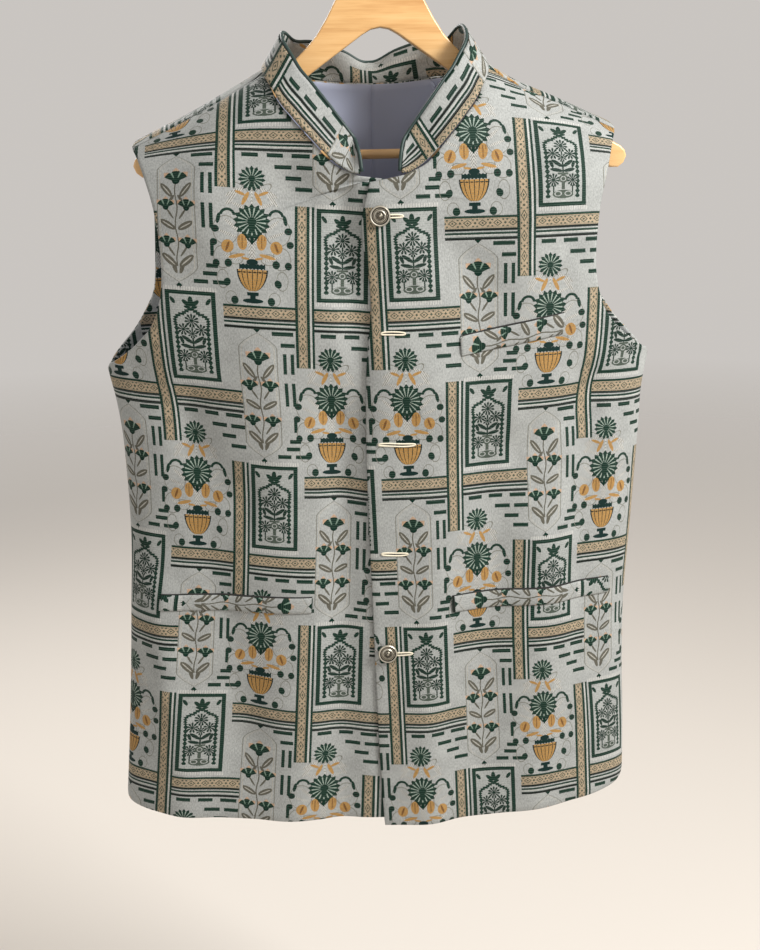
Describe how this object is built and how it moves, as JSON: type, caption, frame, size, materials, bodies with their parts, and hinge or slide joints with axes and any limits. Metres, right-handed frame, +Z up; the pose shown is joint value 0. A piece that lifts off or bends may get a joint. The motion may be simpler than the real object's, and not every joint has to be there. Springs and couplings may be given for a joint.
{
  "type": "nehru jacket on a hanger",
  "caption": "Sleeveless stand-collar jacket in figured brocade with piped collar, welt pockets and metal shank buttons, hung on a wooden hanger.",
  "frame": {"origin": "where the hanger's hook bears on a rail: the top of the inside of the hook", "axes": "+Z up the hook, +X to the wearer's left along the shoulders, -Y out of the jacket's front"},
  "size_m": [0.5074, 0.1397, 0.872],
  "materials": {
    "brocade": "silver-grey satin ground with bottle green, peach, gold, grey and white figures",
    "lining_satin": "grey-blue satin",
    "piping_green": "very dark green bias piping",
    "antique_silver": "cast zinc alloy plated in antique silver",
    "wood": "light lotus wood, clear varnish",
    "steel": "plated steel wire"
  },
  "bodies": {
    "root": {"front_right": "brocade", "front_left": "brocade", "back": "brocade", "back_lining_right": "lining_satin", "back_lining_left": "lining_satin", "armhole_facing_right": "brocade", "armhole_facing_left": "brocade", "collar_outer": "brocade", "collar_inner": "brocade", "collar_piping": "piping_green", "chest_welt": "brocade", "hip_welt_right": "brocade", "hip_welt_left": "brocade", "button_top": "antique_silver", "button_bottom": "antique_silver", "hanger_body": "wood", "hanger_bar": "wood", "hanger_hook": "steel"}
  },
  "joints": []
}
